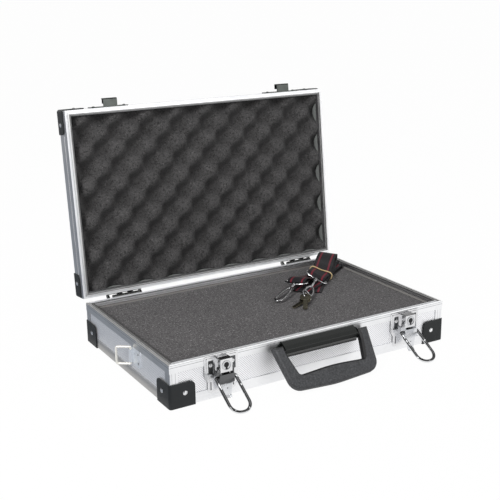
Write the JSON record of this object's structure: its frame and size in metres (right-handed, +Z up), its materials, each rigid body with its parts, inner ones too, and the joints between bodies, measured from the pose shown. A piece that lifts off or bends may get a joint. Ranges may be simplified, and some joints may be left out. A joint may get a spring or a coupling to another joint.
{
  "type": "microphone case",
  "caption": "Aluminium-framed hard carrying case with a hinged lid, draw latches with key locks, a fold-down handle, foam lining and a folded shoulder strap, shown open",
  "frame": {"origin": "on the resting plane, under the middle of the base's outer corner protectors (the middle of the base's width and depth)", "axes": "+X runs along the front from the left latch to the right latch, +Y from the front to the hinges, +Z up; the lid stands open at its stop"},
  "size_m": [0.4912, 0.4084, 0.3552],
  "materials": {
    "frame": "brushed anodised extrusion",
    "panel": "embossed aluminium sheet with a fine diagonal dot pattern",
    "protector": "black moulded plastic, fine grain",
    "liner": "grey lining over board",
    "base_foam": "grey open-cell foam, flat",
    "lid_foam": "dark grey open-cell foam, egg-crate profile",
    "rivet": "domed aluminium rivets",
    "latch": "bright chrome plate",
    "lock": "plated lock cylinder",
    "bolt": "plain steel",
    "grip": "satin black plastic",
    "bracket": "black plastic",
    "pin": "plain steel",
    "hinge": "nickel-plated steel",
    "ring": "plated wire and plate",
    "webbing": "black webbing with two dark red stripes",
    "band": "tan rubber",
    "hook": "plated steel",
    "keys": "nickel-washed brass"
  },
  "bodies": {
    "base": {"base_bottom_panel": "panel", "base_front_panel": "panel", "base_back_panel": "panel", "base_left_panel": "panel", "base_right_panel": "panel", "base_rim_frame": "frame", "base_edge_frame": "frame", "base_corner_posts": "frame", "base_corner_protectors": "protector", "base_liner": "liner", "base_foam": "base_foam", "base_rivets": "rivet", "handle_bracket": "bracket", "handle_pins": "pin", "hinge_base_leaves": "hinge", "hinge_pins": "hinge", "left_ring_bracket": "ring", "right_ring_bracket": "ring", "left_latch_plate": "latch", "left_lock_case": "latch", "left_lever_pins": "pin", "right_latch_plate": "latch", "right_lock_case": "latch", "right_lever_pins": "pin"},
    "lid": {"lid_top_panel": "panel", "lid_front_panel": "panel", "lid_back_panel": "panel", "lid_left_panel": "panel", "lid_right_panel": "panel", "lid_rim_frame": "frame", "lid_edge_frame": "frame", "lid_corner_posts": "frame", "lid_corner_protectors": "protector", "lid_liner": "liner", "lid_foam": "lid_foam", "lid_rivets": "rivet", "hinge_lid_leaves": "hinge", "left_lid_catch": "latch", "right_lid_catch": "latch"},
    "handle": {"handle_grip": "grip"},
    "strap": {"strap_webbing": "webbing", "strap_band": "band", "strap_hooks": "hook", "key_ring": "hook", "keys": "keys"},
    "left_lever": {"left_latch_lever": "latch"},
    "left_bail": {"left_latch_bail": "latch"},
    "left_cylinder": {"left_lock_cylinder": "lock"},
    "left_bolt": {"left_lock_bolt": "bolt"},
    "left_ring": {"left_side_ring": "ring"},
    "right_lever": {"right_latch_lever": "latch"},
    "right_bail": {"right_latch_bail": "latch"},
    "right_cylinder": {"right_lock_cylinder": "lock"},
    "right_bolt": {"right_lock_bolt": "bolt"},
    "right_ring": {"right_side_ring": "ring"}
  },
  "joints": [
    {"name": "lid_hinge", "type": "hinge", "parent": "base", "child": "lid", "pos_m": [0, 0.1448, 0.0598], "axis": [1, 0, 0], "range_deg": [0, 96.3]},
    {"name": "handle_pivot", "type": "hinge", "parent": "base", "child": "handle", "pos_m": [0, -0.15, 0.048], "axis": [-1, 0, 0], "range_deg": [0, 57]},
    {"name": "strap_lift", "type": "slide", "parent": "base", "child": "strap", "axis": [0, 0, -1], "range_m": [-0.15, 0]},
    {"name": "left_lever_hinge", "type": "hinge", "parent": "base", "child": "left_lever", "pos_m": [-0.1505, -0.1515, 0.0442], "axis": [1, 0, 0], "range_deg": [-100, 0]},
    {"name": "left_bail_hinge", "type": "hinge", "parent": "left_lever", "child": "left_bail", "pos_m": [-0.1505, -0.1505, 0.0332], "axis": [-1, 0, 0], "range_deg": [0, 128]},
    {"name": "left_key_turn", "type": "hinge", "parent": "base", "child": "left_cylinder", "pos_m": [-0.1505, -0.15, 0.0502], "axis": [0, 1, 0], "range_deg": [0, 90]},
    {"name": "left_bolt_slide", "type": "slide", "parent": "base", "child": "left_bolt", "axis": [0, 0, -1], "range_m": [0, 0.005]},
    {"name": "left_ring_swing", "type": "hinge", "parent": "base", "child": "left_ring", "pos_m": [-0.2274, -0.027, 0.0362], "axis": [0, 0, -1], "range_deg": [-80, 52]},
    {"name": "right_lever_hinge", "type": "hinge", "parent": "base", "child": "right_lever", "pos_m": [0.153, -0.1515, 0.0428], "axis": [1, 0, 0], "range_deg": [-100, 0]},
    {"name": "right_bail_hinge", "type": "hinge", "parent": "right_lever", "child": "right_bail", "pos_m": [0.153, -0.1505, 0.0318], "axis": [-1, 0, 0], "range_deg": [0, 127]},
    {"name": "right_key_turn", "type": "hinge", "parent": "base", "child": "right_cylinder", "pos_m": [0.153, -0.15, 0.0488], "axis": [0, 1, 0], "range_deg": [0, 90]},
    {"name": "right_bolt_slide", "type": "slide", "parent": "base", "child": "right_bolt", "axis": [0, 0, -1], "range_m": [0, 0.005]},
    {"name": "right_ring_swing", "type": "hinge", "parent": "base", "child": "right_ring", "pos_m": [0.2274, -0.027, 0.0362], "axis": [0, 0, 1], "range_deg": [-80, 52]}
  ],
  "couplings": [
    {"joint": "left_bolt_slide", "follows": "left_key_turn", "m_per_rad": 0.003183},
    {"joint": "right_bolt_slide", "follows": "right_key_turn", "m_per_rad": 0.003183}
  ]
}
